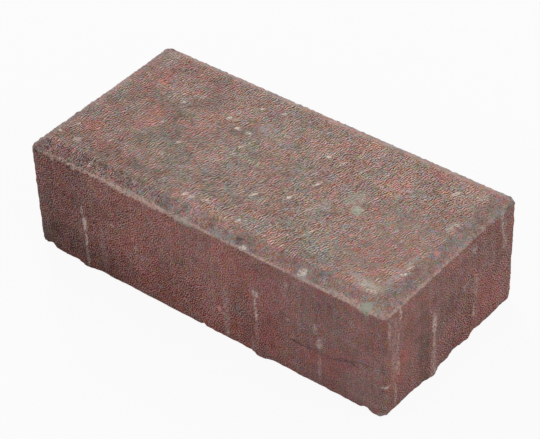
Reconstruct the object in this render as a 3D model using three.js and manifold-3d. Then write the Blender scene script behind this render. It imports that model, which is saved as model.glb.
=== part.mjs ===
// Rectangular concrete paving stone, pressed in a mould as one piece and lying on its bed face.
// Millimetres, +Z up. The origin is the middle of the underside, and +X runs along the length.
// The upright walls carry spacer ribs, which keep a laying joint open between two stones.

import * as THREE from 'three';
import { mergeVertices } from 'three/addons/utils/BufferGeometryUtils.js';
import Module from 'manifold-3d';

// Block
const bodyLength = 197;        // wall to wall, spacer ribs left out
const bodyWidth = 97;
const totalHeight = 60;
const cornerRadius = 3;        // upright corners of the mould box
const cornerSteps = 8;         // facets of each upright corner

// Wearing face: a flat field, a chamfer round it, and the narrow land left by the tamper's clearance
const chamferWidth = 7;        // from the wall to the edge of the flat field
const chamferDepth = 4;        // from the land up to the flat field
const landWidth = 1.2;         // level strip outside the chamfer
const landArris = 0.4;         // worn edge between wall and land
const fieldCornerRadius = 2;   // corners of the flat field
const fieldArris = 0.5;        // worn edge between chamfer and flat field

// Bed face
const bedArris = 0.8;          // worn edge round the underside

// Spacer ribs
const ribProud = 1.5;          // how far a crest stands off its wall
const ribBase = 12.5;          // width where it meets the wall
const ribCrest = 2.4;          // width of the flat crest
const ribHeight = 38;          // from the underside to the tip of its head
const ribHead = 6;             // length over which the rib runs out into the wall
const ribHeadSteps = 5;
const ribRoot = 2;             // how deep the rib reaches into the block it is pressed with
const sideRibFirst = 30.5;     // from the end of a long wall to its first crest
const sideRibPitch = 101;
const sideRibCount = 2;
const endRibFirst = 33.5;      // from the end of a short wall to its first crest
const endRibPitch = 30;
const endRibCount = 2;

const concrete = new THREE.MeshStandardMaterial({ color: 0x85695f, roughness: 0.93, metalness: 0 });

// Rectangle with round corners, drawn `inset` inside the walls.
function outline(inset, radius) {
  const halfX = bodyLength / 2 - inset - radius;
  const halfY = bodyWidth / 2 - inset - radius;
  const corners = [[halfX, halfY], [-halfX, halfY], [-halfX, -halfY], [halfX, -halfY]];
  const points = [];
  corners.forEach(([x, y], quarter) => {
    for (let step = 0; step <= cornerSteps; step += 1) {
      const angle = (quarter + step / cornerSteps) * Math.PI / 2;
      points.push(new THREE.Vector2(x + radius * Math.cos(angle), y + radius * Math.sin(angle)));
    }
  });
  return points;
}

// Closed body through level sections, lowest first; all sections have the same number of points.
function loft(sections) {
  const count = sections[0].points.length;
  const positions = [];
  const faces = [];
  for (const { z, points } of sections) {
    for (const point of points) positions.push(point.x, point.y, z);
  }
  for (let level = 0; level < sections.length - 1; level += 1) {
    for (let i = 0; i < count; i += 1) {
      const here = level * count + i;
      const next = level * count + (i + 1) % count;
      faces.push(here, next, next + count);
      faces.push(here, next + count, here + count);
    }
  }
  const topStart = (sections.length - 1) * count;
  const underside = THREE.ShapeUtils.triangulateShape(sections[0].points, []);
  const topside = THREE.ShapeUtils.triangulateShape(sections[sections.length - 1].points, []);
  for (const [a, b, c] of underside) faces.push(a, c, b);
  for (const [a, b, c] of topside) faces.push(topStart + a, topStart + b, topStart + c);
  const geometry = new THREE.BufferGeometry();
  geometry.setAttribute('position', new THREE.Float32BufferAttribute(positions, 3));
  geometry.setIndex(faces);
  return geometry;
}

// The block: worn bed edge, plain walls, land, chamfer and flat field.
function blockGeometry() {
  const landHeight = totalHeight - chamferDepth;
  const slope = (chamferWidth - landWidth) / chamferDepth;
  const fieldDrop = fieldArris / slope / 2;
  const section = (z, inset, radius) => ({ z, points: outline(inset, radius) });
  return loft([
    section(0, bedArris, cornerRadius - bedArris),
    section(bedArris, 0, cornerRadius),
    section(landHeight - landArris, 0, cornerRadius),
    section(landHeight, landArris, cornerRadius - landArris),
    section(landHeight, landWidth, cornerRadius - landWidth),
    section(totalHeight - fieldDrop, chamferWidth - fieldArris / 2, fieldCornerRadius),
    section(totalHeight, chamferWidth + fieldArris / 2, fieldCornerRadius),
  ]);
}

// Cross-section of a rib that runs along Z on the wall y = 0 and stands out towards -Y.
function ribSection(proud, base, crest) {
  return [
    new THREE.Vector2(-base / 2, ribRoot),
    new THREE.Vector2(-base / 2, 0),
    new THREE.Vector2(-crest / 2, -proud),
    new THREE.Vector2(crest / 2, -proud),
    new THREE.Vector2(base / 2, 0),
    new THREE.Vector2(base / 2, ribRoot),
  ];
}

// A rib: one even bar with a rounded head that runs out into the wall, and a worn foot.
function ribGeometry() {
  const worn = bedArris / ribProud;
  const sections = [
    { z: bedArris / 2, points: ribSection(ribProud * (1 - worn), ribBase, ribCrest) },
    { z: bedArris, points: ribSection(ribProud, ribBase, ribCrest) },
  ];
  for (let step = 0; step <= ribHeadSteps; step += 1) {
    const angle = step / ribHeadSteps * Math.PI / 2;
    const fall = Math.cos(angle);
    const z = ribHeight - ribHead + ribHead * Math.sin(angle);
    sections.push({ z, points: ribSection(ribProud * fall, ribBase * (1 + fall) / 2, ribCrest) });
  }
  return loft(sections);
}

// Crest places along a wall, from the wall's middle.
function ribPlaces(wallLength, first, pitch, count) {
  return Array.from({ length: count }, (_, i) => first + pitch * i - wallLength / 2);
}

// Every rib of the stone. Opposite walls are half turns of each other, so the long walls
// of two stones laid side by side never meet crest to crest.
function ribGeometries() {
  const walls = [
    { turn: 0, reach: bodyWidth / 2, places: ribPlaces(bodyLength, sideRibFirst, sideRibPitch, sideRibCount) },
    { turn: 1, reach: bodyLength / 2, places: ribPlaces(bodyWidth, endRibFirst, endRibPitch, endRibCount) },
  ];
  const ribs = [];
  for (const { turn, reach, places } of walls) {
    for (const place of places) {
      for (const half of [0, 2]) {
        const rib = ribGeometry();
        rib.translate(place, -reach, 0);
        rib.rotateZ((turn + half) * Math.PI / 2);
        ribs.push(rib);
      }
    }
  }
  return ribs;
}

function toSolid(wasm, geometry) {
  const bare = new THREE.BufferGeometry();
  bare.setAttribute('position', geometry.getAttribute('position'));
  bare.setIndex(geometry.getIndex());
  const merged = mergeVertices(bare, 1e-5);
  const vertProperties = Float32Array.from(merged.getAttribute('position').array);
  const triVerts = Uint32Array.from(merged.getIndex().array);
  return new wasm.Manifold(new wasm.Mesh({ numProp: 3, vertProperties, triVerts }));
}

function toGeometry(solid) {
  const mesh = solid.getMesh();
  const geometry = new THREE.BufferGeometry();
  geometry.setAttribute('position', new THREE.BufferAttribute(mesh.vertProperties, 3));
  geometry.setIndex(new THREE.BufferAttribute(mesh.triVerts, 1));
  const faceted = geometry.toNonIndexed();
  faceted.computeVertexNormals();
  return faceted;
}

const wasm = await Module();
wasm.setup();

let stone = toSolid(wasm, blockGeometry());
for (const rib of ribGeometries()) {
  stone = stone.add(toSolid(wasm, rib));
}

const pavingStone = new THREE.Mesh(toGeometry(stone), concrete);
pavingStone.name = 'paving_stone';

const model = new THREE.Group();
model.add(pavingStone);

export default model;
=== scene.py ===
"""Concrete paving stone: the finish of a pressed block, laid out as a Blender add-on.

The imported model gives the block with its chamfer, land and spacer ribs. Here a copy of it gets
its sandy wearing face, drawn walls, crumbled edges and chips as real relief, and a concrete
material on Object coordinates. Lengths are metres, and millimetres where a name says so.
"""

import math

import bpy
from bpy.props import (
    FloatProperty,
    FloatVectorProperty,
    PointerProperty,
)
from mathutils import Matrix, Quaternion, Vector


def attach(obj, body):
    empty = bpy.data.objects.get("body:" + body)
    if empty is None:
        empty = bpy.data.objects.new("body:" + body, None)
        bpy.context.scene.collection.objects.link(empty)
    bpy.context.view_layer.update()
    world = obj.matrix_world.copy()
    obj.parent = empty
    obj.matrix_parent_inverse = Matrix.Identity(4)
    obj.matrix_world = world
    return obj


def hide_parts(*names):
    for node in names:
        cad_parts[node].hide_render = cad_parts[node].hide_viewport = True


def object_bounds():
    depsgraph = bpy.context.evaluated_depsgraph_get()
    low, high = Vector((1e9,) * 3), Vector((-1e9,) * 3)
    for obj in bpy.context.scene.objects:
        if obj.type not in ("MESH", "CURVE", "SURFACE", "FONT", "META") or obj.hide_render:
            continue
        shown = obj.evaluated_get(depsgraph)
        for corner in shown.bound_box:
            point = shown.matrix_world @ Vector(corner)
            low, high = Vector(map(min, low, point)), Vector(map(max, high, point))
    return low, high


bl_info = {
    "name": "Concrete paving stone",
    "version": (1, 0, 0),
    "blender": (4, 5, 0),
    "location": "3D View > Sidebar > Paving",
    "description": "Finishes a pressed concrete paving stone and sets it on a plain studio floor",
    "category": "Object",
}

NODE = "paving_stone"
PIECE = "pressed_stone"
SLOT = "coloured_concrete"
MM = 0.001

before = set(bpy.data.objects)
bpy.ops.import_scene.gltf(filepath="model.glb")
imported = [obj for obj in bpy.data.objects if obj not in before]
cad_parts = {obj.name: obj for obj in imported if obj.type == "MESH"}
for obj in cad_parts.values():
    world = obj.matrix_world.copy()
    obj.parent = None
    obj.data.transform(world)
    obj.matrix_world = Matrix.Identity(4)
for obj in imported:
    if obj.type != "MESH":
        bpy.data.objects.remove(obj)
CAD_LOW, CAD_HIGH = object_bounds()
SPAN = CAD_HIGH - CAD_LOW

# The block inside its ribs, in millimetres from the middle of the underside.
RIB_PROUD = 1.5        # how far a spacer rib stands off its wall
WALL_X = SPAN.x / MM / 2 - RIB_PROUD
WALL_Y = SPAN.y / MM / 2 - RIB_PROUD
TOP_Z = SPAN.z / MM
LAND_Z = 56.0          # height of the land round the wearing face
CHAMFER_WIDTH = 7.0    # from the wall to the edge of the flat field
LEAN = 0.33            # how far the strokes of the wearing face lean out of square

# Chips
CHIP_LUMPS = 2.2       # size of the lumps in a chip's break, in millimetres
CHIP_ROUGHNESS = 0.6   # their depth, as a share of the chip's smallest half-axis

# Concrete
FIELD_TONE = 0.866     # lightness of the wearing face, before its patches and shades
WALL_TONE = 1.018      # the same for the walls
GRAIN_DARKEST = -0.85  # the grain is cut off below this and above the next
GRAIN_PALEST = 1.15
GRAIN_SHARES = (0.73, 1.08, 1.10)      # how strongly the grain acts on red, green and blue
FIELD_SHARES = (0.11, -0.035, 0.03)    # added to those shares on the wearing face
BLUE_CAST = (0.1, 0.0, 1.0)            # how strongly the tint of single grains acts on them
ROUGHNESS = 0.93
SPECULAR = 0.25

# Stage, in metres
FLOOR_SIZE = 12.0
LAMP_DISTANCE = 2.4    # from the middle of the underside
KEY_DIRECTION = (-0.80, 0.62, 0.62)
KEY_SIZE = 0.46
FILL_DIRECTION = (0.80, 0.35, 0.45)
FILL_SIZE = 1.10
SENSOR_WIDTH = 36.0    # in millimetres
PAPER = (0.80, 0.80, 0.80)
PAPER_GLOW = 0.92      # how far the camera sees the floor as plain white
WHITE = (1.0, 1.0, 1.0)


class StoneSizes(bpy.types.PropertyGroup):
    """Sizes of the relief on the stone."""

    mesh_step: FloatProperty(
        name="Mesh step", description="Edge length of the dense mesh",
        default=0.9 * MM, min=0.0, precision=5, subtype="DISTANCE", unit="LENGTH",
    )
    sand_relief: FloatProperty(
        name="Sand relief", description="Depth of the sandy grain on the wearing face",
        default=0.22 * MM, precision=5, subtype="DISTANCE", unit="LENGTH",
    )
    wall_relief: FloatProperty(
        name="Wall relief", description="Depth of the grain on the drawn walls",
        default=0.2 * MM, precision=5, subtype="DISTANCE", unit="LENGTH",
    )
    swell: FloatProperty(
        name="Swell", description="Depth of the broad unevenness of every face",
        default=0.3 * MM, precision=5, subtype="DISTANCE", unit="LENGTH",
    )
    pit_depth: FloatProperty(
        name="Pit depth", description="Depth of the open pores in the wearing face",
        default=0.5 * MM, precision=5, subtype="DISTANCE", unit="LENGTH",
    )
    edge_crumble: FloatProperty(
        name="Edge crumble", description="How far the edges have crumbled back",
        default=0.7 * MM, precision=5, subtype="DISTANCE", unit="LENGTH",
    )
    bed_crumble: FloatProperty(
        name="Bed edge crumble", description="How far the lower edge has crumbled back",
        default=0.7 * MM, precision=5, subtype="DISTANCE", unit="LENGTH",
    )


class StoneColours(bpy.types.PropertyGroup):
    """Colours of the concrete, as linear values."""

    wall_red: FloatVectorProperty(
        name="Wall red", description="Iron-oxide paste on the drawn walls",
        default=(0.335, 0.110, 0.105), size=3, subtype="COLOR",
    )
    wall_grey: FloatVectorProperty(
        name="Wall grey", description="Cement film on the walls",
        default=(0.212, 0.160, 0.151), size=3, subtype="COLOR",
    )
    field_red: FloatVectorProperty(
        name="Field red", description="Red paste between the grains of the wearing face",
        default=(0.430, 0.154, 0.135), size=3, subtype="COLOR",
    )
    field_grey: FloatVectorProperty(
        name="Field grey", description="Grey-green sand of the wearing face",
        default=(0.225, 0.233, 0.199), size=3, subtype="COLOR",
    )
    # Also used as painted shade, on the dark rim along the far sides and the front flank of the end wall's
    # rib
    shade: FloatVectorProperty(
        name="Shade", description="Open pores, cracks and dirt",
        default=(0.095, 0.065, 0.059), size=3, subtype="COLOR",
    )
    worn: FloatVectorProperty(
        name="Worn edge", description="Rubbed land and corners",
        default=(0.62, 0.43, 0.37), size=3, subtype="COLOR",
    )
    bloom: FloatVectorProperty(
        name="Lime bloom", description="Pale lime bloom and scuffs",
        default=(0.58, 0.475, 0.43), size=3, subtype="COLOR",
    )
    green_bloom: FloatVectorProperty(
        name="Green bloom", description="Pale greenish mortar spots",
        default=(0.405, 0.425, 0.34), size=3, subtype="COLOR",
    )
    lime: FloatVectorProperty(
        name="Lime", description="Pale lime specks in the wearing face",
        default=(0.74, 0.63, 0.55), size=3, subtype="COLOR",
    )
    grey_bloom: FloatVectorProperty(
        name="Grey bloom", description="Pale cool grey lime spots",
        default=(0.42, 0.38, 0.38), size=3, subtype="COLOR",
    )
    pink_chip: FloatVectorProperty(
        name="Pink chip", description="Fresh pinkish break",
        default=(0.66, 0.32, 0.28), size=3, subtype="COLOR",
    )


class StageSettings(bpy.types.PropertyGroup):
    """Camera, floor and lamps."""

    azimuth: FloatProperty(
        name="Azimuth", description="Turn of the camera round the stone",
        default=math.radians(39.757), subtype="ANGLE", unit="ROTATION",
    )
    elevation: FloatProperty(
        name="Elevation", description="Height of the camera above the horizon",
        default=math.radians(39.355), subtype="ANGLE", unit="ROTATION",
    )
    roll: FloatProperty(
        name="Roll", description="Tilt of the camera about its own line of sight",
        default=math.radians(2.276), subtype="ANGLE", unit="ROTATION",
    )
    distance: FloatProperty(
        name="Distance", description="From the camera to its aim point",
        default=0.9014, precision=4, subtype="DISTANCE", unit="LENGTH",
    )
    aim: FloatVectorProperty(
        name="Aim", description="Point that the camera looks at",
        default=(0.00047, -0.00039, 0.02931), size=3, precision=5, subtype="XYZ", unit="LENGTH",
    )
    lens: FloatProperty(name="Lens", description="Focal length in millimetres", default=134.53)
    key_power: FloatProperty(name="Key light", description="Power of the key light", default=36.0)
    fill_power: FloatProperty(name="Fill light", description="Power of the fill light", default=4.0)
    sky: FloatProperty(name="Sky", description="Strength of the even light", default=0.62)


class Wire:
    """One output socket of a material. Arithmetic on wires adds the nodes that do it."""

    def __init__(self, finish, socket):
        self.finish = finish
        self.socket = socket

    def _join(self, operation, first, second):
        operands = (first, second)
        settings = {"operation": operation}
        numbers = [isinstance(o, (int, float)) for o in operands]
        plain = all(n or (isinstance(o, Wire) and o.socket.type == "VALUE")
                    for n, o in zip(numbers, operands))
        if plain:
            return self.finish.node("ShaderNodeMath", settings, dict(enumerate(operands)))
        vectors = [(o,) * 3 if n else o for n, o in zip(numbers, operands)]
        return self.finish.node("ShaderNodeVectorMath", settings, dict(enumerate(vectors)))

    def __add__(self, other):
        return self._join("ADD", self, other)

    __radd__ = __add__

    def __mul__(self, other):
        return self._join("MULTIPLY", self, other)

    __rmul__ = __mul__

    def __sub__(self, other):
        return self._join("SUBTRACT", self, other)

    def __rsub__(self, other):
        return self._join("SUBTRACT", other, self)

    def __abs__(self):
        return self.finish.node("ShaderNodeMath", {"operation": "ABSOLUTE"}, {0: self})

    def least(self, other):
        return self._join("MINIMUM", self, other)

    def most(self, other):
        return self._join("MAXIMUM", self, other)

    def length(self):
        return self.finish.node("ShaderNodeVectorMath", {"operation": "LENGTH"}, {0: self}, "Value")

    def split(self):
        return [self.finish.node("ShaderNodeSeparateXYZ", {}, {"Vector": self}, axis) for axis in "XYZ"]

    def rise(self, start, end, full=1.0):
        """0 up to start, `full` from end on, smooth between them. A start above its end makes it fall."""
        low, high, values = (start, end, (0.0, full)) if start < end else (end, start, (full, 0.0))
        settings = {"interpolation_type": "SMOOTHSTEP", "clamp": False}
        return self.finish.node("ShaderNodeMapRange", settings, {
            "Value": self, "From Min": low, "From Max": high, "To Min": values[0], "To Max": values[1],
        })

    def beyond(self, edge):
        """How far this coordinate lies out past an edge, towards either end, and 0 between the edges."""
        return (self - edge).most(0.0) + (self + edge).least(0.0)

    def towards(self, other, share):
        """This colour mixed with another one by a share from 0 to 1."""
        return self.finish.mix(self, other, share)


class Finish:
    """A material under construction."""

    def __init__(self, name, tree=None):
        if tree is None:
            self.material = bpy.data.materials.new(name)
            self.material.use_nodes = True
            tree = self.material.node_tree
        self.tree = tree
        self.tree.nodes.clear()

    def node(self, kind, settings, sockets, output=0):
        """Adds a node: its settings first, then the value or link of each socket."""
        node = self.tree.nodes.new(kind)
        for key, value in settings.items():
            setattr(node, key, value)
        for key, value in sockets.items():
            socket = self._socket(node.inputs, key)
            if isinstance(value, Wire):
                self.tree.links.new(value.socket, socket)
            elif socket.type == "RGBA" and len(value) == 3:
                socket.default_value = (*value, 1.0)
            else:
                socket.default_value = value
        if len(node.outputs) == 0:
            return None
        return Wire(self, self._socket(node.outputs, output))

    @staticmethod
    def _socket(sockets, key):
        if isinstance(key, int):
            return [s for s in sockets if s.enabled][key]
        return next(s for s in sockets if s.enabled and s.name == key)

    def mix(self, first, second, share):
        """Two colours mixed by a share from 0 to 1."""
        colours = [c if isinstance(c, Wire) else tuple(c) for c in (first, second)]
        sockets = {"Factor": share, "A": colours[0], "B": colours[1]}
        return self.node("ShaderNodeMix", {"data_type": "RGBA"}, sockets, "Result")

    def vector(self, x=0.0, y=0.0, z=0.0):
        return self.node("ShaderNodeCombineXYZ", {}, {"X": x, "Y": y, "Z": z})

    def parts(self, colour):
        """The three parts of a texture's colour, each moved to lie round 0."""
        return [self.node("ShaderNodeSeparateColor", {}, {"Color": colour}, part) - 0.5
                for part in ("Red", "Green", "Blue")]

    def noise(self, place, size, roughness):
        """Smooth noise round 0 with features of about `size` millimetres."""
        sockets = {"Vector": place, "Scale": 1 / size, "Detail": 1.0, "Roughness": roughness}
        return self.node("ShaderNodeTexNoise", {}, sockets, "Fac") - 0.5

    def wander(self, place, size):
        """A vector that wanders smoothly round 0 over about `size` millimetres."""
        sockets = {"Vector": place, "Scale": 1 / size, "Detail": 1.0}
        return self.vector(*self.parts(self.node("ShaderNodeTexNoise", {}, sockets, "Color")))

    def seen(self):
        """1 where the camera sees the surface, directly, mirrored or through glass."""
        rays = [self.node("ShaderNodeLightPath", {}, {}, f"Is {kind} Ray")
                for kind in ("Camera", "Glossy", "Transmission")]
        return rays[0].most(rays[1]).most(rays[2])

    def brushed(self, place, spacing, angle, evenness):
        """Short parallel strokes round 0 in the XY plane, `spacing` apart in the direction `angle`."""
        sockets = {
            "Vector": place, "Scale": 0.7 / spacing, "Frequency": 1.43,
            "Anisotropy": evenness, "Orientation": angle,
        }
        return self.node("ShaderNodeTexGabor", {"gabor_type": "2D"}, sockets, "Value") - 0.5

    def cells(self, place, size):
        """Three random numbers, from -0.5 to 0.5, for each cell of about `size` millimetres."""
        sockets = {"Vector": place, "Scale": 1 / size, "Randomness": 1.0}
        return self.parts(self.node("ShaderNodeTexVoronoi", {}, sockets, "Color"))

    def dabs(self, place, marks, soft):
        """The strongest of several soft-edged spots, each (middle, half-axes, strength)."""
        total = None
        for middle, size, strength in marks:
            scale = tuple(1 / h for h in size)
            shift = tuple(-m / h for m, h in zip(middle, size))
            sockets = {0: place, 1: scale, 2: shift}
            away = self.node("ShaderNodeVectorMath", {"operation": "MULTIPLY_ADD"}, sockets).length()
            cover = away.rise(1 + soft, 1 - soft, strength)
            total = cover if total is None else total.most(cover)
        return total


def only(obj):
    """Selects one object and nothing else, and makes it active."""
    bpy.ops.object.select_all(action="DESELECT")
    obj.select_set(True)
    bpy.context.view_layer.objects.active = obj


def copy_of_node(node, name):
    """A copy of a CAD node as a piece of its own, with its loose triangles joined."""
    piece = bpy.data.objects.new(name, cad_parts[node].data.copy())
    bpy.context.scene.collection.objects.link(piece)
    piece.data.name = name
    piece.data.materials.clear()
    only(piece)
    bpy.ops.object.mode_set(mode="EDIT")
    bpy.ops.mesh.select_all(action="SELECT")
    bpy.ops.mesh.remove_doubles(threshold=0.001 * MM)
    bpy.ops.object.mode_set(mode="OBJECT")
    return piece


def apply_modifier(piece, kind, **settings):
    """Adds a modifier with its settings and applies it."""
    modifier = piece.modifiers.new(kind.lower(), kind)
    for key, value in settings.items():
        setattr(modifier, key, value)
    only(piece)
    bpy.ops.object.modifier_apply(modifier=modifier.name)


def clouds(name, size, depth=2, contrast=1.0):
    """Cloud noise for displacement, with lumps of about `size` metres."""
    texture = bpy.data.textures.new(name, "CLOUDS")
    texture.noise_scale = size
    texture.noise_depth = depth
    texture.noise_basis = "IMPROVED_PERLIN"
    texture.contrast = contrast
    return texture


def pores(name, size, open_share):
    """Round pores: 1 on the plain surface, falling to 0 inside the middle of each cell."""
    texture = bpy.data.textures.new(name, "VORONOI")
    texture.noise_scale = size
    texture.noise_intensity = 1.0
    texture.use_color_ramp = True
    elements = texture.color_ramp.elements
    elements[0].position, elements[0].color = 0.0, (0, 0, 0, 1)
    elements[1].position, elements[1].color = open_share, (1, 1, 1, 1)
    return texture


def weigh(piece, rule):
    """Makes a vertex group whose weight at each vertex is rule(x, y, z), in millimetres."""
    group = piece.vertex_groups.new(name=rule.__name__)
    for vertex in piece.data.vertices:
        weight = rule(*(vertex.co / MM))
        if weight > 0:
            group.add([vertex.index], min(weight, 1.0), "REPLACE")
    return group.name


def ramp(value, start, end):
    """0 at start and 1 at end, straight between them and level beyond."""
    return min(max((value - start) / (end - start), 0.0), 1.0)


def wall_inset(x, y):
    """Distance in from the nearest wall."""
    return min(WALL_X - abs(x), WALL_Y - abs(y))


def face(x, y, z):
    """Weight of the sandy grain: full on the field, less on the chamfer, none on the walls."""
    return ramp(z, LAND_Z - 0.6, LAND_Z) * (0.5 + 0.5 * ramp(wall_inset(x, y), 4.0, CHAMFER_WIDTH))


def walls(x, y, z):
    """Weight of the grain of the drawn walls."""
    return 1.0 - ramp(z, LAND_Z - 0.8, LAND_Z)


def field(x, y, z):
    """Weight of the pores, which open in the flat field only."""
    return ramp(wall_inset(x, y), CHAMFER_WIDTH, CHAMFER_WIDTH + 1.5) * ramp(z, LAND_Z, TOP_Z - 1)


def top_edge(x, y, z):
    """Weight of the crumbling along the land."""
    return (1.0 - ramp(wall_inset(x, y), 0.8, 2.0)) * ramp(z, LAND_Z - 3.0, LAND_Z - 0.5)


def bed_edge(x, y, z):
    """Weight of the crumbling along the lower edge."""
    return (1.0 - ramp(z, 1.0, 5.0)) * (1.0 - ramp(wall_inset(x, y), 0.5, 3.0))


def upright_edge(x, y, z):
    """Weight of the crumbling down the four corners."""
    return 1.0 - ramp(max(WALL_X - abs(x), WALL_Y - abs(y)), 2.0, 4.5)


# Chips knocked out of the edges: middle and half-axes, in millimetres
CHIPS = (
    ((-93.0, -50.0, -0.5), (4.5, 4.0, 4.6)),
    ((-99.5, -49.0, 0.0), (4.0, 4.0, 3.0)),
    ((-0.5, -49.5, 0.0), (1.8, 2.5, 2.2)),
    ((88.3, -50.0, 0.0), (3.2, 3.2, 2.2)),
    ((99.5, -49.0, 0.0), (3.6, 3.6, 1.9)),
    ((99.6, 3.0, -0.2), (3.4, 6.0, 2.6)),
    ((99.5, 17.0, -0.6), (4.2, 5.2, 4.2)),
    ((100.9, 16.0, 0.0), (2.4, 4.4, 6.4)),
    ((99.8, 48.5, 0.0), (3.2, 3.2, 3.4)),
    ((20.5, -45.2, 58.6), (1.9, 1.6, 1.4)),
    ((-62.0, 49.8, 56.5), (5.0, 1.8, 1.4)),
    ((44.0, 49.8, 0.0), (6.0, 3.0, 3.0)),
    ((-99.6, 21.0, 56.0), (1.6, 3.6, 1.4)),
    ((-100.2, 14.0, 57.6), (3.2, 40.0, 3.0)),
    ((99.5, -37.0, -0.6), (4.5, 18.0, 1.9)),
    ((99.5, 25.0, -0.6), (4.5, 38.0, 1.9)),
    ((-99.3, -23.5, 56.8), (1.6, 3.2, 1.6)),
    ((-99.3, -14.0, 56.8), (1.6, 2.4, 1.6)),
)


class PAVING_OT_stone(bpy.types.Operator):
    """Model the stone: chips, dense mesh, grain, pores and crumbled edges"""

    bl_idname = "paving.stone"
    bl_label = "Pressed stone"

    def execute(self, context):
        sizes = context.scene.stone_sizes
        piece = copy_of_node(NODE, PIECE)
        for number, (middle, half_axes) in enumerate(CHIPS):
            self.knock_out(piece, number, middle, half_axes)
        apply_modifier(piece, "REMESH", mode="VOXEL", voxel_size=sizes.mesh_step, adaptivity=0.0)
        self.roughen(piece, sizes)
        keep_inside_model(piece)
        only(piece)
        bpy.ops.object.shade_smooth()
        piece.data.materials.append(Concrete(context.scene.stone_colours).material)
        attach(piece, "root")
        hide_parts(NODE)
        return {"FINISHED"}

    def knock_out(self, piece, number, middle, half_axes):
        """Cuts one lumpy chip out of the stone."""
        bpy.ops.object.select_all(action="DESELECT")
        bpy.ops.mesh.primitive_ico_sphere_add(
            subdivisions=3, radius=1.0,
            location=[c * MM for c in middle], scale=[h * MM for h in half_axes],
        )
        chip = bpy.context.object
        bpy.ops.object.transform_apply(location=True, rotation=True, scale=True)
        lumps = clouds(f"chip_{number}", CHIP_LUMPS * MM, 1)
        depth = min(half_axes) * CHIP_ROUGHNESS * MM
        apply_modifier(chip, "DISPLACE", texture=lumps, strength=depth, mid_level=0.5)
        apply_modifier(piece, "BOOLEAN", object=chip, operation="DIFFERENCE", solver="EXACT")
        bpy.data.objects.remove(chip)

    def roughen(self, piece, sizes):
        rules = (face, walls, field, top_edge, bed_edge, upright_edge)
        group = {rule: weigh(piece, rule) for rule in rules}
        coats = (
            (clouds("swell", 14 * MM), sizes.swell, 0.6, None),
            (clouds("sand", 1.7 * MM, 1, 1.8), sizes.sand_relief, 0.6, face),
            (clouds("wall_sand", 1.9 * MM, 1, 1.5), sizes.wall_relief, 0.6, walls),
            (pores("pores", 3.0 * MM, 0.25), sizes.pit_depth, 1.0, field),
            (clouds("top_edge", 2.0 * MM, 2, 2.0), sizes.edge_crumble, 0.55, top_edge),
            (clouds("bed_edge", 5.0 * MM, 3, 1.6), sizes.bed_crumble, 0.6, bed_edge),
            (clouds("upright_edge", 3.0 * MM, 2, 1.5), sizes.edge_crumble, 0.7, upright_edge),
        )
        for texture, depth, level, rule in coats:
            apply_modifier(piece, "DISPLACE", texture=texture, strength=depth, mid_level=level,
                           vertex_group=group.get(rule, ""))
        piece.vertex_groups.clear()


def keep_inside_model(piece):
    """Holds every vertex inside the CAD model's box."""
    for vertex in piece.data.vertices:
        for axis in range(3):
            vertex.co[axis] = min(max(vertex.co[axis], CAD_LOW[axis]), CAD_HIGH[axis])


def leaning(marks):
    """Marks of the wearing face, moved to where they fall on the combed coordinates."""
    return [((x - y * LEAN, y, z), size, strength) for (x, y, z), size, strength in marks]


# Marks: middle, half-axes in millimetres, and strength
FIELD_SPECKS = (
    ((-35.2, 16.6, 60), (0.9, 1.3, 2), 0.95),
    ((21.8, -12.4, 60), (1.0, 1.5, 2), 1.0),
    ((90.4, -24.6, 60), (1.0, 1.3, 2), 1.0),
    ((-27.5, 12.9, 60), (0.9, 1.1, 2), 0.65),
    ((-26.0, 12.3, 60), (1.2, 0.6, 2), 0.5),
    ((-80.5, -35.7, 60), (2.2, 1.6, 2), 0.42),
    ((26.0, 1.8, 60), (0.8, 2.3, 2), 0.8),
    ((18.4, 19.9, 60), (1.0, 1.3, 2), 0.6),
    ((-27.4, 30.8, 60), (0.8, 1.0, 2), 0.75),
    ((-42.3, -10.7, 60), (0.8, 1.3, 2), 0.4),
    ((-12.5, -36.5, 60), (0.9, 1.4, 2), 0.42),
    ((-55.1, 22.2, 60), (1.1, 1.7, 2), 0.6),
    ((-20.8, 13.1, 60), (1.5, 0.8, 2), 0.5),
    ((-16.5, 6.0, 60), (0.5, 5.5, 2), 0.5),
    ((8.0, -19.9, 60), (0.7, 2.4, 2), 0.55),
    ((-60.1, 13.8, 60), (0.9, 1.3, 2), 0.6),
    ((90.2, -20.1, 60), (0.6, 2.4, 2), 0.42),
    ((89.8, 13.2, 60), (0.8, 4.0, 2), 0.3),
    ((-6.2, -35.3, 60), (0.8, 1.2, 2), 0.6),
    ((-64.9, -44.2, 58), (1.0, 1.2, 2), 0.5),
    ((-16.9, 33.6, 60), (0.7, 1.2, 2), 0.5),
    ((13.8, -37.5, 60), (0.8, 1.3, 2), 0.36),
    ((78.0, 31.4, 60), (1.2, 2.4, 2), 0.4),
    ((-16.0, -36.8, 60), (1.2, 1.4, 2), 0.55),
    ((26.3, 19.5, 60), (0.6, 2.0, 2), 0.5),
    ((-58.0, -3.0, 60), (0.6, 1.6, 2), 0.4),
    ((-90.5, -35.0, 60), (2.2, 0.8, 2), 0.45),
    ((-88.0, -27.0, 60), (0.7, 1.6, 2), 0.4),
    ((-67.5, -27.5, 60), (0.8, 1.5, 2), 0.4),
    ((37.0, 21.0, 60), (0.35, 6.5, 2), 0.55),
    ((43.0, -26.0, 60), (0.4, 5.0, 2), 0.5),
    ((34.0, -12.5, 60), (0.4, 4.5, 2), 0.4),
    ((81.0, -38.3, 60), (4.2, 1.9, 2), 0.2),
    ((85.4, -40.8, 60), (3.4, 1.3, 2), 0.27),
    ((54.2, -45.8, 57.4), (1.9, 1.9, 2.5), 0.66),
    ((23.8, -46.8, 56.4), (1.8, 1.2, 1.4), 0.75),
)
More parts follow.
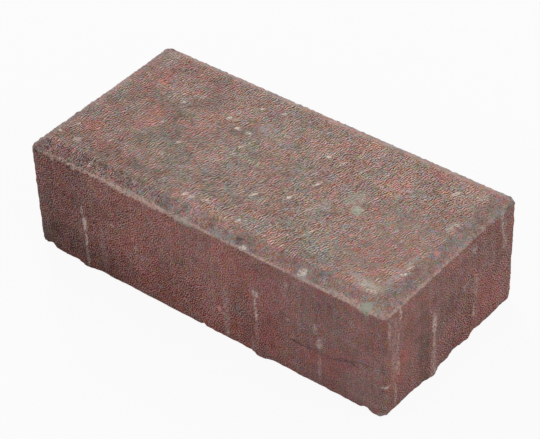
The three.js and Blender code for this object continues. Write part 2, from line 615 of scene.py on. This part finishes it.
WALL_SPECKS = (
    ((-84.5, -48.5, 54.8), (1.0, 2, 0.9), 0.5),
    ((-72.0, -48.5, 55.0), (0.9, 2, 0.8), 0.5),
    ((-37.3, -48.5, 26.4), (1.1, 2, 1.1), 0.4),
    ((-51.0, -48.5, 33), (1.4, 2, 1.5), 0.25),
    ((47.4, -48.5, 49), (1.0, 2, 1.8), 0.3),
    ((47.8, -48.5, 29.7), (0.9, 2, 0.9), 0.35),
    ((98.5, -46.8, 17.3), (3.0, 2.9, 0.7), 0.9),
    ((98.5, 37.4, 49.2), (2, 0.8, 0.9), 0.55),
    ((98.5, 38.6, 42.0), (2, 0.8, 0.9), 0.4),
)
SCUFFS = (
    ((-67.8, -49.4, 34.0), (0.9, 3, 2.4), 0.5),
    ((-66.6, -49.6, 27.0), (1.1, 3, 4.6), 0.85),
    ((-66.8, -49.6, 18.0), (0.8, 3, 4.5), 0.55),
    ((-66.8, -49.6, 8.0), (0.9, 3, 6), 0.35),
    ((31.2, -49.4, 36.0), (2.3, 3, 1.6), 0.6),
    ((31.4, -49.6, 31.0), (0.9, 3, 4), 0.5),
    ((31.7, -49.6, 24.5), (0.9, 3, 3), 0.6),
    ((31.9, -49.6, 13.0), (0.9, 3, 7), 0.25),
    ((5.8, -48.5, 20), (1.6, 2, 14), 0.14),
    ((13.7, -48.5, 17), (1.7, 2, 14), 0.24),
    ((13.9, -48.5, 4.5), (1.0, 2, 1.8), 0.45),
    ((64.5, -48.5, 24.8), (1.9, 2, 2.8), 0.42),
    ((64.6, -48.5, 12), (1.0, 2, 8), 0.32),
    ((62.5, -48.5, 32), (1.2, 2, 3), 0.3),
    ((98.9, -15.0, 30.5), (3, 1.6, 5.0), 1.0),
    ((98.9, -15.0, 22.0), (3, 1.0, 5), 0.65),
    ((98.9, -15.2, 11.0), (3, 1.7, 9), 0.42),
    ((98.9, -15.0, 3.0), (3, 2.4, 3), 0.5),
    ((99.0, 15.5, 30.0), (3, 1.9, 6), 0.24),
    ((99.0, 14.6, 17.0), (3, 0.9, 4), 0.4),
    ((98.5, 9.2, 33.5), (2, 2.0, 2.6), 0.2),
    ((98.5, 15.2, 50.0), (2, 2.2, 3), 0.25),
    ((98.5, -40.8, 9.0), (2, 0.9, 7), 0.4),
    ((98.5, 36.8, 54.0), (2, 1.9, 2.5), 0.32),
    ((98.5, 38.2, 47.0), (2, 1.9, 5), 0.3),
    ((98.5, 39.6, 38.0), (2, 1.8, 4), 0.25),
)
WORN_EDGES = (
    ((98.5, -42.7, 45.0), (2, 3.4, 14), 0.17),
    ((98.5, -41.6, 26.0), (2, 2.4, 11), 0.2),
    ((98.5, -37.9, 51.0), (2, 1.1, 6), 0.5),
    ((98.5, -39.4, 37.0), (2, 0.9, 9), 0.36),
    ((98.5, -39.1, 24.0), (2, 1.1, 7), 0.42),
    ((98.5, -45.4, 49.0), (2, 0.9, 6), 0.34),
    ((-30.0, -48.0, 56.0), (22.0, 1.6, 1.4), 0.5),
    ((84.0, -47.6, 56.3), (16.0, 1.8, 1.4), 0.4),
)
GREY_SPOTS = (
    ((54.3, -46.2, 57), (2.9, 3.2, 3), 0.55),
    ((23.8, -46.6, 56.3), (2.8, 1.8, 1.4), 0.5),
    ((-17.5, 20.5, 60), (2.4, 3.2, 2), 0.45),
    ((37.5, -8, 60), (2.3, 3.3, 2), 0.38),
    ((-57.5, -48.5, 15), (1.6, 2, 14), 0.12),
    ((-24.5, -48.5, 10.5), (1.5, 2, 1.3), 0.35),
    ((28.5, -48.9, 4.5), (1.3, 2, 3), 0.3),
    ((89.0, -48.5, 13), (10, 2, 12), 0.14),
    ((94.2, -48.5, 25), (1.3, 2, 5), 0.3),
    ((97.2, -48.3, 1.5), (2.6, 2.5, 2.2), 0.55),
    ((-91.0, -9.0, 59.5), (1.5, 3.5, 2), 0.3),
    ((88.6, -30.0, 60), (2.0, 5.0, 2), 0.35),
    ((76.0, -36.5, 60), (4.0, 1.5, 2), 0.35),
    ((88.8, 36.0, 60), (1.5, 3.5, 2), 0.35),
    ((12.0, -47.0, 57), (7.0, 1.6, 1.6), 0.35),
)
GREEN_SPOTS = (
    ((87.6, -47.6, 56.4), (2.7, 2.9, 2.6), 1.1),
    ((50.6, -2.6, 60), (2.6, 2.6, 2), 1.15),
    ((59.2, 14.9, 60), (1.0, 1.6, 2), 0.8),
    ((46.0, 4.0, 60), (3.4, 6.0, 2), 0.35),
    ((84.0, -39.0, 60), (6.5, 3.3, 2), 0.4),
    ((89.0, 12.0, 60), (1.3, 4.0, 2), 0.4),
    ((88.5, -18.0, 60), (1.5, 6.0, 2), 0.3),
    ((-8.0, -48.0, 56.0), (5.5, 2.0, 1.8), 0.5),
    ((-21.0, 12.6, 60), (2.0, 1.2, 2), 0.3),
)
RED_AREAS = (
    ((-80.0, 23.0, 60), (4.5, 7.5, 2), 1.0),
    ((-68.0, 37.0, 60), (3.5, 4.0, 2), 0.6),
    ((-48.0, 36.0, 60), (4.0, 3.0, 2), 0.5),
    ((-66.5, 3.0, 60), (5.0, 4.0, 2), 0.8),
    ((-64.0, -6.0, 60), (3.5, 5.5, 2), 0.7),
    ((-81.0, -24.0, 60), (5.0, 4.5, 2), 0.9),
    ((-89.0, -33.5, 60), (4.0, 3.0, 2), 0.8),
    ((-68.0, -32.5, 60), (7.0, 3.5, 2), 0.8),
    ((-46.0, 0.0, 60), (5.0, 4.0, 2), 0.5),
    ((-35.0, 4.0, 60), (6.0, 5.0, 2), 0.4),
    ((-19.5, -38.5, 60), (3.5, 2.5, 2), 0.7),
    ((11.5, -28.5, 60), (6.0, 4.5, 2), 0.6),
    ((22.0, -21.0, 60), (3.5, 3.5, 2), 0.4),
    ((3.5, 9.5, 60), (2.0, 2.0, 2), 0.6),
    ((37.5, 12.5, 60), (4.5, 5.0, 2), 0.55),
    ((56.0, 22.0, 60), (4.5, 5.5, 2), 0.6),
    ((66.0, 37.0, 60), (5.0, 4.0, 2), 0.9),
    ((72.5, -17.0, 60), (4.0, 5.0, 2), 0.6),
    ((84.5, -9.0, 60), (3.0, 6.0, 2), 0.5),
    ((46.0, -5.0, 60), (3.5, 3.0, 2), 0.35),
    ((98.5, 27.0, 15), (2, 10, 10), 0.7),
    ((98.5, -34.0, 28), (2, 5, 5), 0.7),
    ((98.5, -40.0, 19), (2, 4, 4), 0.5),
    ((98.5, -13.0, 41), (2, 2.5, 3), 0.6),
    ((38.0, -48.5, 18), (3.0, 2, 12), 1.0),
    ((-28.0, -48.5, 27), (5.0, 2, 4), 0.5),
    ((68.0, -48.5, 16), (3.0, 2, 6), 0.45),
    ((46.0, -48.5, 4), (3.5, 2, 4), 0.5),
)
GREY_AREAS = (
    ((-88.5, 1.0, 60), (4.5, 9.0, 2), 0.7),
    ((-88.0, -15.0, 60), (4.0, 5.0, 2), 0.6),
    ((-64.0, 13.0, 60), (7.0, 3.5, 2), 0.6),
    ((-55.0, -16.0, 60), (9.0, 6.0, 2), 0.8),
    ((-30.0, -23.0, 60), (10.0, 7.0, 2), 0.5),
    ((-5.0, 36.0, 60), (14.0, 5.0, 2), 0.4),
    ((-12.0, -3.0, 60), (9.0, 13.0, 2), 0.5),
    ((2.0, -18.0, 60), (7.0, 9.0, 2), 0.5),
    ((22.0, -36.0, 60), (9.0, 4.0, 2), 0.5),
    ((37.0, -18.0, 60), (4.0, 9.0, 2), 0.5),
    ((50.0, -32.0, 60), (9.0, 8.0, 2), 0.6),
    ((45.0, 36.0, 60), (7.0, 4.0, 2), 0.4),
    ((66.0, 8.0, 60), (5.0, 5.0, 2), 0.35),
    ((-94.0, -48.5, 14), (7.0, 2, 20), 0.6),
    ((-74.0, -48.5, 14), (8.0, 2, 10), 0.3),
    ((-58.0, -48.5, 10), (6.0, 2, 10), 0.2),
    ((74.0, -48.5, 40), (26.0, 2, 14), 0.55),
    ((88.0, -48.5, 12), (10.0, 2, 12), 0.4),
    ((52.0, -48.5, 30), (8.0, 2, 8), 0.5),
    ((98.5, -4.0, 34), (2, 12, 14), 0.5),
    ((98.5, -21.5, 18), (2, 4, 18), 0.15),
    ((98.5, 14.0, 47), (2, 14, 7), 0.4),
)
DARK_SPOTS = (
    ((20.5, -45.2, 57.8), (1.7, 1.4, 2.0), 0.65),
    ((-5.0, -21.5, 60), (1.0, 1.0, 2), 0.6),
    ((11.0, -1.0, 60), (2.0, 1.8, 2), 0.45),
    ((-93.0, -48.5, 5), (4.0, 3, 4), 0.6),
    ((-27.5, -48.5, 28.5), (1.8, 2, 1.8), 0.4),
    ((-21.5, -48.5, 26), (2.0, 2, 1.5), 0.35),
    ((38.0, -48.5, 18), (2.2, 2, 11), 0.25),
    ((29.5, -48.5, 20), (2.6, 2, 2.0), 0.3),
    # Painted shade: the dark front flank of the rib on the end wall
    ((98.5, -21.5, 18), (2, 3, 18), 0.4),
    ((98.5, -12.9, 42), (2, 2.0, 2.2), 0.35),
    ((98.5, 27.0, 36), (2, 4.0, 4), 0.2),
    ((98.5, 11.5, 24), (2, 2.0, 8), 0.2),
    ((52.5, -48.5, 19.4), (3.4, 2, 0.8), 0.5),
    ((80.5, -48.5, 23.2), (3.6, 2, 0.8), 0.75),
)
PINK_CHIPS = (
    ((93.0, -4.7, 59.2), (1.2, 1.4, 2), 0.8),
    ((58.4, -17.2, 60), (1.2, 1.2, 2), 0.6),
    ((10.0, -48.5, 15.6), (1.0, 2, 1.4), 1.0),
    ((11.6, -48.5, 13.8), (0.8, 2, 0.8), 0.6),
)


class Concrete(Finish):
    """The concrete: red drawn walls, sandy red and grey wearing face, pale scuffs and spots."""

    def __init__(self, colours):
        super().__init__(SLOT)
        self.colours = colours
        self.measure()
        self.scatter()
        self.comb()
        self.fray()
        field = self.wearing_face()
        walls = self.drawn_walls()
        colour = self.body(walls, field)
        colour = self.worn_land_and_shaded_rim(colour)
        colour = self.marked(colour)
        crack = self.hairline()
        colour = colour.towards(colours.shade, crack * 0.55)
        self.node("ShaderNodeOutputMaterial", {}, {"Surface": self.surface(colour, crack)})

    def measure(self):
        """Coordinates in millimetres, and the masks that tell the faces apart."""
        self.place = self.node("ShaderNodeTexCoord", {}, {}, "Object") * (1 / MM)
        self.x, self.y, self.z = x, y, z = self.place.split()
        self.inset = (WALL_X - abs(x)).least(WALL_Y - abs(y))
        self.far = y.rise(20, 40).most(x.rise(-88, -94))
        # The wearing face's colour reaches 1 mm further down the two far walls
        near_side = z.rise(LAND_Z - 0.9, LAND_Z - 0.1)
        far_side = (z + self.far * 1.4 - 1.4).rise(LAND_Z - 1.9, LAND_Z - 1.1)
        self.upper = near_side.most(far_side)

    def scatter(self):
        """Noises shared by both kinds of face, each kind finest first."""
        place = self.place
        self.dust = self.noise(place, 0.40, 0.7)
        self.sand = self.noise(place, 1.5, 0.6)
        self.patch = self.noise(place, 4.0, 0.6)
        self.cloud = self.noise(place, 15.0, 0.5)
        self.grit = self.cells(place, 0.42)[0]
        self.fleck, self.tint, self.hue = self.cells(place, 0.75)
        self.pebble, self.pebble_tint, self.pebble_hue = self.cells(place, 1.8)
        elsewhere = place + (31.0, 17.0, 53.0)
        self.stain = self.noise(elsewhere, 3.0, 0.6)
        self.broad_stain = self.noise(elsewhere, 13.0, 0.5)

    def comb(self):
        """The wearing face is struck off across the stone, which draws its grain out that way."""
        x, y, z = self.x, self.y, self.z
        self.wobble = self.wander(self.place, 3.2)
        across = -math.atan(LEAN)
        down_slope = self.vector(x.beyond(WALL_X - CHAMFER_WIDTH), y.beyond(WALL_Y - CHAMFER_WIDTH))
        combing = self.place + down_slope * 0.55 + self.wobble * 0.6
        self.stroke = self.brushed(combing, 1.02, across, 0.75)
        self.long_stroke = self.brushed(combing + (5.3, 2.1, 0.0), 1.7, across, 0.85)
        # Calm strokes on the chamfer, rubbed ones at the near right, the hardest bite at the left
        self.calm = self.inset.rise(11.0, 5.0) * (1.0 - x.rise(0, -75) * 0.6)
        self.rubbed = (x.rise(40, 70) * y.rise(25, 0) * 0.45).most(self.calm * 0.46)
        bite = (1.0 + self.patch * 3.0 + self.stain * 3.0).most(0.4)
        self.bite = bite * (1.3 + x.rise(15, -75) * 0.95 - x.rise(35, 70) * 0.28)
        self.combed = self.vector(x - y * LEAN, y, z) + self.wobble * 0.5

    def fray(self):
        """Ragged outlines for everything that is painted by place."""
        self.frayed = self.place + self.wobble * 2.6
        self.nudged = self.place + self.wobble * 0.5
        self.ragged = self.dust * 1.8 + self.sand * 1.2
        self.broken = self.ragged + self.fleck * 0.8
        self.balance = self.dabs(self.frayed, RED_AREAS, 0.7) - self.dabs(self.frayed, GREY_AREAS, 0.8)

    def wearing_face(self):
        """Colour, grain and light of the flat field, its chamfer and the land."""
        x, y, inset, far = self.x, self.y, self.inset, self.far
        calm, balance = self.calm, self.balance

        red = 0.37 + self.hue * 0.43 + self.pebble_hue * 0.43 + self.stain * 0.65 + self.broad_stain * 0.35
        # Redder towards both ends, greyer on the right chamfer and along the far rim
        red = red + x.rise(-20, -90) * 0.06 + x.rise(50, 80) * 0.06 - x.rise(88, 92) * 0.07
        red = red + balance * 0.24 - inset.rise(3.0, 1.0) * far * 0.14
        colour = self.mix(self.colours.field_grey, self.colours.field_red, red)

        # The chamfer has fewer strokes and more grit, most at the left end
        slope = inset.rise(8.5, 6.0)
        grain = (self.stroke * 4.6 + self.long_stroke * 0.7) * self.bite * (1.0 - slope * 0.5)
        grain = (grain + self.grit * (slope * x.rise(75, -85) * 1.25 + 1.4)) * (1.0 - self.rubbed)

        light = self.sand * 0.2 + self.patch * (0.6 + calm * 0.4) + self.cloud * 0.7
        light = light + self.pebble.rise(0.465, 0.48) * 0.25 + FIELD_TONE
        # Chamfer painted paler (painted light), paler right half, the left end's chamfer painted darker
        # (painted shade), darker near left corner, paler far rim
        light = light + calm * 0.12 + x.rise(-95, 20) * 0.13 - x.rise(-91, -95) * 0.13
        light = light - x.rise(-75, -90) * y.rise(5, -35) * 0.04 - balance * 0.02
        light = light + inset.rise(3.0, 1.0) * far * 0.05
        # Darker near left and left of the near chamfer, far chamfer painted darker (painted shade), right
        # chamfer painted paler (painted light)
        light = light - y.rise(0, -25) * x.rise(30, -20) * 0.06 - y.rise(41, 43) * 0.04
        light = light - y.rise(-40, -42) * x.rise(-30, -85) * 0.04 + x.rise(90, 93) * 0.05
        return colour, grain, light

    def drawn_walls(self):
        """Colour, grain and light of the walls, drawn out upwards by the mould."""
        x, y, z = self.x, self.y, self.z
        drawn = self.noise(self.place * (1.0, 1.0, 0.08), 2.2, 0.6)
        self.prick = self.brushed(self.vector(x + y, z), 1.1, 0.0, 0.0) * z.rise(0.2, 1.0)
        self.end_wall = end_wall = x.rise(94, 97)

        grey = 0.47 + self.hue * 0.52 + self.pebble_hue * 0.42 + self.stain * 0.6 + self.broad_stain * 0.5
        grey = grey + drawn * 0.3 - self.balance * 0.28 + end_wall * 0.05
        grey = grey - z.rise(30, 10) * x.rise(50, 0) * 0.1
        colour = self.mix(self.colours.wall_red, self.colours.wall_grey, grey)

        # The grain is coarsest at the left, low down and on the far half of the end wall, and
        # finer on the two far walls
        low = z.rise(42, 6)
        coarse = 0.97 + x.rise(10, -85) * 1.2 - x.rise(15, 70) * 0.34 + y.rise(-30, 10) * end_wall * 0.66
        coarse = coarse * (1.0 - y.rise(44, 48).most(x.rise(-95, -98)) * 0.5)
        lower = x.rise(75, 20) * 0.6 + x.rise(-30, -5) * x.rise(32, 15) * 0.5 + end_wall * 0.8
        self.coarse = coarse * (1.1 + low * lower)
        grain = (self.grit * 0.7 + self.prick * 3.2) * self.coarse

        light = WALL_TONE + self.sand * 0.4 + self.patch * 0.55 + self.cloud * 0.5 + drawn * 0.4
        # Darker left end, foot painted darker as painted contact shade, palest middle, darker far half of
        # the end wall above its foot
        light = light - x.rise(-25, -92) * (0.26 + z.rise(46, 16) * 0.12)
        light = light + x.rise(-40, 10) * 0.06 - z.rise(34, 4) * x.rise(80, 25) * 0.08
        light = light - x.rise(40, 70) * 0.05 - end_wall * (y.rise(-35, 5) * z.rise(8, 28) * 0.06)
        light = light - z.rise(30, 8) * x.rise(20, -50) * 0.07 + z.rise(32, 14) * x.rise(55, 72) * 0.03
        return colour, grain, light

    def body(self, walls, field):
        """The plain concrete of both kinds of face, before its marks."""
        upper = self.upper
        wall_colour, wall_grain, wall_light = walls
        field_colour, field_grain, field_light = field
        colour = wall_colour.towards(field_colour, upper)
        grain = wall_grain + (field_grain - wall_grain) * upper
        grain = grain.most(GRAIN_DARKEST).least(GRAIN_PALEST)
        tone = wall_light + (field_light - wall_light) * upper
        light = tone * (grain * GRAIN_SHARES + grain * upper * FIELD_SHARES + 1.0)
        warm = 0.02 + self.x.rise(50, 0).most(self.end_wall) * (1.0 - upper) * 0.04
        warm = warm - self.inset.rise(7.2, 6.4) * upper * 0.06
        # Single grains lean to blue or away from it, and warm parts of the stone have less of it
        return colour * light * ((self.tint * 0.5 + self.pebble_tint * 0.3 - warm) * BLUE_CAST + 1.0)

    def worn_land_and_shaded_rim(self, colour):
        """The rubbed pale line along the land, and the dark rim of the far sides painted as shade."""
        x, y, z, inset = self.x, self.y, self.z, self.inset
        land = (inset - x.rise(10, -60) * 0.5).rise(1.5, 0.7) * z.rise(LAND_Z - 1.0, LAND_Z - 0.2)
        land = land * (1.0 - y.rise(0, 30) * 0.85)
        land = land * (1.0 + self.ragged * 2.2 + self.fleck * 1.0).most(0.0)
        land = land * (1.0 - x.rise(-93, -96) * 0.7) * (1.0 - self.end_wall * 0.45)
        breaks = self.noise(self.place, 9.0, 0.5) + self.ragged * 0.35 + self.fleck * 0.15
        colour = colour.towards(self.colours.worn, land * (0.24 + breaks.rise(-0.14, 0.08) * 0.46))
        # The dark rim along the far arris is painted shade
        rim = inset.rise(0.7, 0.2) * self.upper * self.far * (0.3 + self.ragged * 0.9).most(0.0)
        return colour.towards(self.colours.shade, rim)

    def painted(self, colour, paint, marks, place, speckle, soft=0.45):
        """A colour with marks painted over it, broken up by the speckle."""
        cover = (self.dabs(place, marks, soft) * (0.85 + speckle)).most(0.0).least(1.0)
        return colour.towards(paint, cover)

    def marked(self, colour):
        """A colour with every worn edge, spot, scuff, speck and fresh break painted over it, and patches
        of painted shade.
        """
        colours, frayed, nudged = self.colours, self.frayed, self.nudged
        ragged, broken = self.ragged, self.broken
        colour = self.painted(colour, colours.worn, WORN_EDGES, nudged, broken * 2.6)
        colour = self.painted(colour, colours.grey_bloom, GREY_SPOTS, frayed, ragged * 2.6)
        colour = self.painted(colour, colours.green_bloom, GREEN_SPOTS, frayed, ragged * 2.6)
        colour = self.painted(colour, colours.bloom, SCUFFS, nudged, broken * 2.4)
        speckle = 0.05 + broken * 2.2 + self.stroke * 3.0
        colour = self.painted(colour, colours.lime, leaning(FIELD_SPECKS), self.combed, speckle, 0.3)
        colour = self.painted(colour, colours.bloom, WALL_SPECKS, nudged, broken * 1.2)
        colour = self.painted(colour, colours.pink_chip, PINK_CHIPS, self.place, ragged * 1.2)
        # Dark spots and pores, and painted shade on the front flank of the end wall's rib
        return self.painted(colour, colours.shade, DARK_SPOTS, frayed, ragged * 2.6)

    def hairline(self):
        """1 in the middle of the crack across the right half of the long wall, 0 beside it."""
        x, y = self.x, self.y
        course = 19.3 + x.rise(66, 90) * 7.0
        crack = abs(self.frayed.split()[2] - course).rise(0.8, 0.2)
        crack = crack * x.rise(47, 52) * x.rise(97, 88) * y.rise(-48.0, -48.4)
        return crack * (0.35 + (self.ragged * 2.0).rise(-0.3, 0.4) * 0.65)

    def surface(self, colour, crack):
        """The shader, with the fine relief that the mesh is too coarse for."""
        wall_height = self.prick * self.coarse * 0.14 + self.dust * 0.08 + self.sand * 0.15
        field_height = (self.stroke * 0.26 + self.long_stroke * 0.16) * self.bite * (1.0 - self.rubbed)
        field_height = field_height + self.sand * 0.1 + self.grit * 0.02
        height = wall_height + (field_height - wall_height) * self.upper - crack * 0.2
        relief = {"Strength": 1.0, "Distance": MM, "Height": height}
        normal = self.node("ShaderNodeBump", {}, relief, "Normal")
        return self.node("ShaderNodeBsdfPrincipled", {}, {
            "Base Color": colour, "Roughness": ROUGHNESS, "Normal": normal, "Specular IOR Level": SPECULAR,
        })


class PAVING_OT_stage(bpy.types.Operator):
    """Set the floor, the lamps and the camera"""

    bl_idname = "paving.stage"
    bl_label = "Studio stage"

    def execute(self, context):
        settings = context.scene.stage_settings
        self.floor()
        self.sky(context, settings)
        self.lamp(context, "key_light", KEY_DIRECTION, KEY_SIZE, settings.key_power)
        self.lamp(context, "fill_light", FILL_DIRECTION, FILL_SIZE, settings.fill_power)
        self.camera(context, settings)
        context.scene.view_settings.view_transform = "Standard"
        return {"FINISHED"}

    def floor(self):
        bpy.ops.object.select_all(action="DESELECT")
        bpy.ops.mesh.primitive_plane_add(size=FLOOR_SIZE, location=(0, 0, 0))
        floor = bpy.context.object
        floor.name = "studio_floor"
        floor.data.materials.append(paper())

    def sky(self, context, settings):
        world = bpy.data.worlds.new("studio_sky")
        world.use_nodes = True
        finish = Finish("studio_sky", world.node_tree)
        strength = settings.sky + finish.seen() * (1.0 - settings.sky)
        sky = finish.node("ShaderNodeBackground", {}, {"Color": WHITE, "Strength": strength})
        finish.node("ShaderNodeOutputWorld", {}, {"Surface": sky})
        context.scene.world = world

    def lamp(self, context, name, direction, size, power):
        """A square soft light that stands in a direction from the stone and faces it."""
        data = bpy.data.lights.new(name, "AREA")
        data.energy = power
        data.size = size
        light = bpy.data.objects.new(name, data)
        context.scene.collection.objects.link(light)
        light.location = Vector(direction).normalized() * LAMP_DISTANCE
        light.rotation_euler = (-light.location).to_track_quat("-Z", "Y").to_euler()

    def camera(self, context, settings):
        turn, height = settings.azimuth, settings.elevation
        level = math.cos(height)
        back = Vector((math.sin(turn) * level, -math.cos(turn) * level, math.sin(height)))
        data = bpy.data.cameras.new("camera")
        data.lens = settings.lens
        data.sensor_width = SENSOR_WIDTH
        camera = bpy.data.objects.new("camera", data)
        context.scene.collection.objects.link(camera)
        camera.location = Vector(settings.aim) + back * settings.distance
        camera.rotation_mode = "QUATERNION"
        upright = (-back).to_track_quat("-Z", "Y")
        camera.rotation_quaternion = upright @ Quaternion((0, 0, 1), -settings.roll)
        context.scene.camera = camera


def paper():
    """White studio floor that keeps a light shadow."""
    finish = Finish("studio_paper")
    diffuse = finish.node("ShaderNodeBsdfDiffuse", {}, {"Color": PAPER, "Roughness": 1.0})
    glow = finish.node("ShaderNodeEmission", {}, {"Color": WHITE, "Strength": 1.0})
    shader = finish.node("ShaderNodeMixShader", {}, {0: finish.seen() * PAPER_GLOW, 1: diffuse, 2: glow})
    finish.node("ShaderNodeOutputMaterial", {}, {"Surface": shader})
    return finish.material


class PAVING_PT_panel(bpy.types.Panel):
    """Buttons of the paving stone"""

    bl_label = "Concrete paving stone"
    bl_idname = "PAVING_PT_panel"
    bl_space_type = "VIEW_3D"
    bl_region_type = "UI"
    bl_category = "Paving"

    def draw(self, context):
        for operator in OPERATORS:
            self.layout.operator(operator.bl_idname)


OPERATORS = (PAVING_OT_stone, PAVING_OT_stage)
GROUPS = {"stone_sizes": StoneSizes, "stone_colours": StoneColours, "stage_settings": StageSettings}


def register():
    for group in GROUPS.values():
        bpy.utils.register_class(group)
    for operator in OPERATORS:
        bpy.utils.register_class(operator)
    bpy.utils.register_class(PAVING_PT_panel)
    for name, group in GROUPS.items():
        setattr(bpy.types.Scene, name, PointerProperty(type=group))


def unregister():
    for name in GROUPS:
        delattr(bpy.types.Scene, name)
    bpy.utils.unregister_class(PAVING_PT_panel)
    for item in (*OPERATORS, *GROUPS.values()):
        bpy.utils.unregister_class(item)


def main():
    register()
    bpy.ops.paving.stone()
    bpy.ops.paving.stage()


if __name__ == "__main__":
    main()
